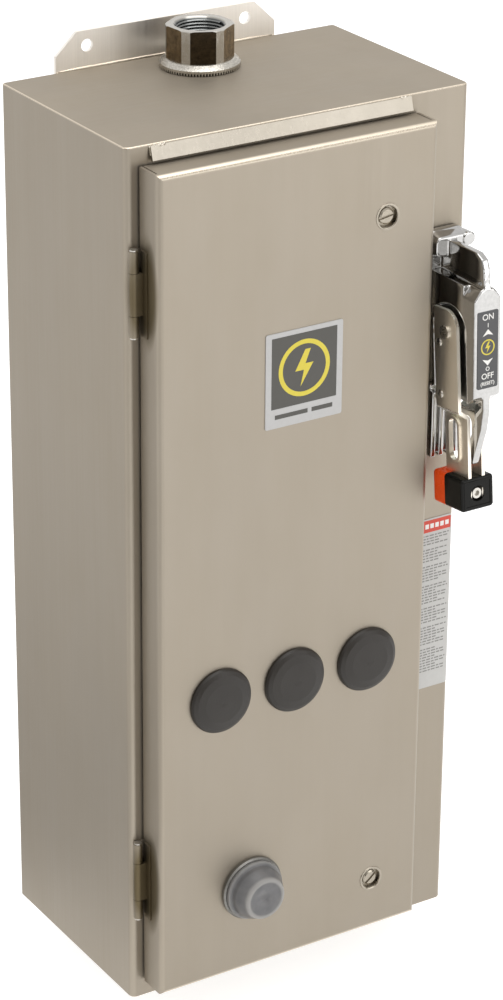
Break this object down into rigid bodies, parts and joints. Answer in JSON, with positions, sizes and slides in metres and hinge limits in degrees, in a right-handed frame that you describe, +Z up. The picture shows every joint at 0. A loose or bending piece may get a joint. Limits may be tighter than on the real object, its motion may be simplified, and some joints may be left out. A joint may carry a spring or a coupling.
{
  "type": "magnetic motor starter",
  "caption": "Wall-mounted stainless enclosure with a hinged door, flange disconnect handle, reset button, top conduit hub and a contactor inside.",
  "frame": {"origin": "centre of the four wall-mounting holes, on the wall plane", "axes": "+Y into the wall, +Z up along the enclosure's height, +X to the right seen from the front"},
  "size_m": [0.2572, 0.2197, 0.6636],
  "materials": {
    "stainless": "brushed, warm grey",
    "zinc_steel": "zinc plated, bright",
    "chrome_casting": "polished chrome plate",
    "lever_steel": "plated, satin to bright",
    "steel": "plain bright steel",
    "black_plastic": "moulded, fine texture",
    "knob_black": "moulded, satin",
    "knob_red": "moulded, satin",
    "black_rubber": "closed-cell foam rubber",
    "clear_boot": "translucent silicone",
    "grey_plastic": "moulded",
    "nameplate_print": "printed film, white border",
    "label_print": "printed film",
    "warning_print": "printed film",
    "panel_paint": "white powder coat",
    "phenolic_black": "moulded phenolic",
    "copper": "bare copper, silver-faced contacts",
    "laminations": "stacked silicon steel",
    "coil_wrap": "varnished tape over winding",
    "wire_black": "insulated wire",
    "wire_red": "insulated wire",
    "brass_hardware": "plated brass",
    "spring_steel": "wire",
    "blue_plastic": "moulded, satin"
  },
  "bodies": {
    "enclosure": {"enclosure_body": "stainless", "mounting_ears": "stainless", "drip_lip": "stainless", "hinge_body_leaves": "stainless", "hinge_pins": "steel", "latch_brackets": "steel", "conduit_hub": "zinc_steel", "hub_knurled_ring": "zinc_steel", "hub_locknut": "zinc_steel", "handle_base": "chrome_casting", "handle_gasket": "black_rubber", "handle_label": "label_print", "handle_screws": "steel", "warning_label": "warning_print", "back_panel": "panel_paint", "panel_nuts": "steel", "ground_lug": "copper", "switch_base": "phenolic_black", "line_terminals": "copper", "load_terminals": "copper", "contactor_base": "phenolic_black", "contactor_coil": "coil_wrap", "magnet_core": "laminations", "stationary_contacts": "copper", "arc_cover": "grey_plastic", "return_spring": "spring_steel", "overload_base": "phenolic_black", "thermal_units": "grey_plastic", "overload_terminals": "copper", "terminal_screws": "brass_hardware", "transformer_core": "laminations", "transformer_winding": "coil_wrap", "power_wires": "wire_black", "control_wires": "wire_red"},
    "door": {"door_panel": "stainless", "door_gasket": "black_rubber", "hinge_door_leaves": "stainless", "nameplate": "nameplate_print", "hole_plugs": "black_plastic", "hole_plug_nuts": "zinc_steel", "latch_cups": "steel", "reset_bushing": "zinc_steel", "reset_boot": "clear_boot", "reset_spring": "spring_steel"},
    "latch_upper": {"latch_screw_upper": "steel"},
    "latch_lower": {"latch_screw_lower": "steel"},
    "reset_plunger": {"reset_button": "blue_plastic", "reset_rod": "steel"},
    "handle_lever": {"lever_plates": "lever_steel", "lever_shafts": "steel", "knob_front": "knob_black", "knob_rear": "knob_red", "knob_screw": "steel"},
    "switch_rod": {"operating_rod": "steel"},
    "rotor": {"switch_rotor": "grey_plastic", "switch_blades": "copper"},
    "carrier": {"contact_carrier": "phenolic_black", "armature": "laminations", "moving_contacts": "copper"},
    "reset_bar": {"overload_reset_bar": "blue_plastic"}
  },
  "joints": [
    {"name": "door_hinge", "type": "hinge", "parent": "enclosure", "child": "door", "pos_m": [-0.1212, -0.1647, 0], "axis": [0, 0, -1], "range_deg": [0, 150]},
    {"name": "latch_upper_turn", "type": "hinge", "parent": "door", "child": "latch_upper", "pos_m": [0.0542, -0.1855, 0.2352], "axis": [0, -1, 0], "range_deg": [0, 1440]},
    {"name": "latch_lower_turn", "type": "hinge", "parent": "door", "child": "latch_lower", "pos_m": [0.0542, -0.1855, -0.2525], "axis": [0, -1, 0], "range_deg": [0, 1440]},
    {"name": "reset_press", "type": "slide", "parent": "door", "child": "reset_plunger", "axis": [0, 1, 0], "range_m": [0, 0.006], "stiffness_N_per_m": 300, "springref_m": -0.003, "deforming": ["reset_spring", "reset_boot"]},
    {"name": "overload_reset", "type": "slide", "parent": "enclosure", "child": "reset_bar", "axis": [0, 1, 0], "range_m": [0, 0.006]},
    {"name": "handle_throw", "type": "hinge", "parent": "enclosure", "child": "handle_lever", "pos_m": [0.1129, -0.1894, 0.1483], "axis": [-1, 0, 0], "range_deg": [0, 169]},
    {"name": "rod_pivot", "type": "hinge", "parent": "handle_lever", "child": "switch_rod", "pos_m": [0.1161, -0.17746, 0.14715], "axis": [-1, 0, 0], "range_deg": [-169, 0]},
    {"name": "rotor_turn", "type": "hinge", "parent": "enclosure", "child": "rotor", "pos_m": [0.1129, -0.0794, 0.1483], "axis": [-1, 0, 0], "range_deg": [0, 169]},
    {"name": "contactor_pull_in", "type": "slide", "parent": "enclosure", "child": "carrier", "axis": [0, 1, 0], "range_m": [0, 0.005], "stiffness_N_per_m": 400, "springref_m": -0.003, "deforming": ["return_spring"]}
  ],
  "couplings": [
    {"joint": "rod_pivot", "follows": "handle_throw", "ratio": -1},
    {"joint": "rotor_turn", "follows": "handle_throw", "ratio": 1},
    {"joint": "overload_reset", "follows": "reset_press", "ratio": 1}
  ]
}
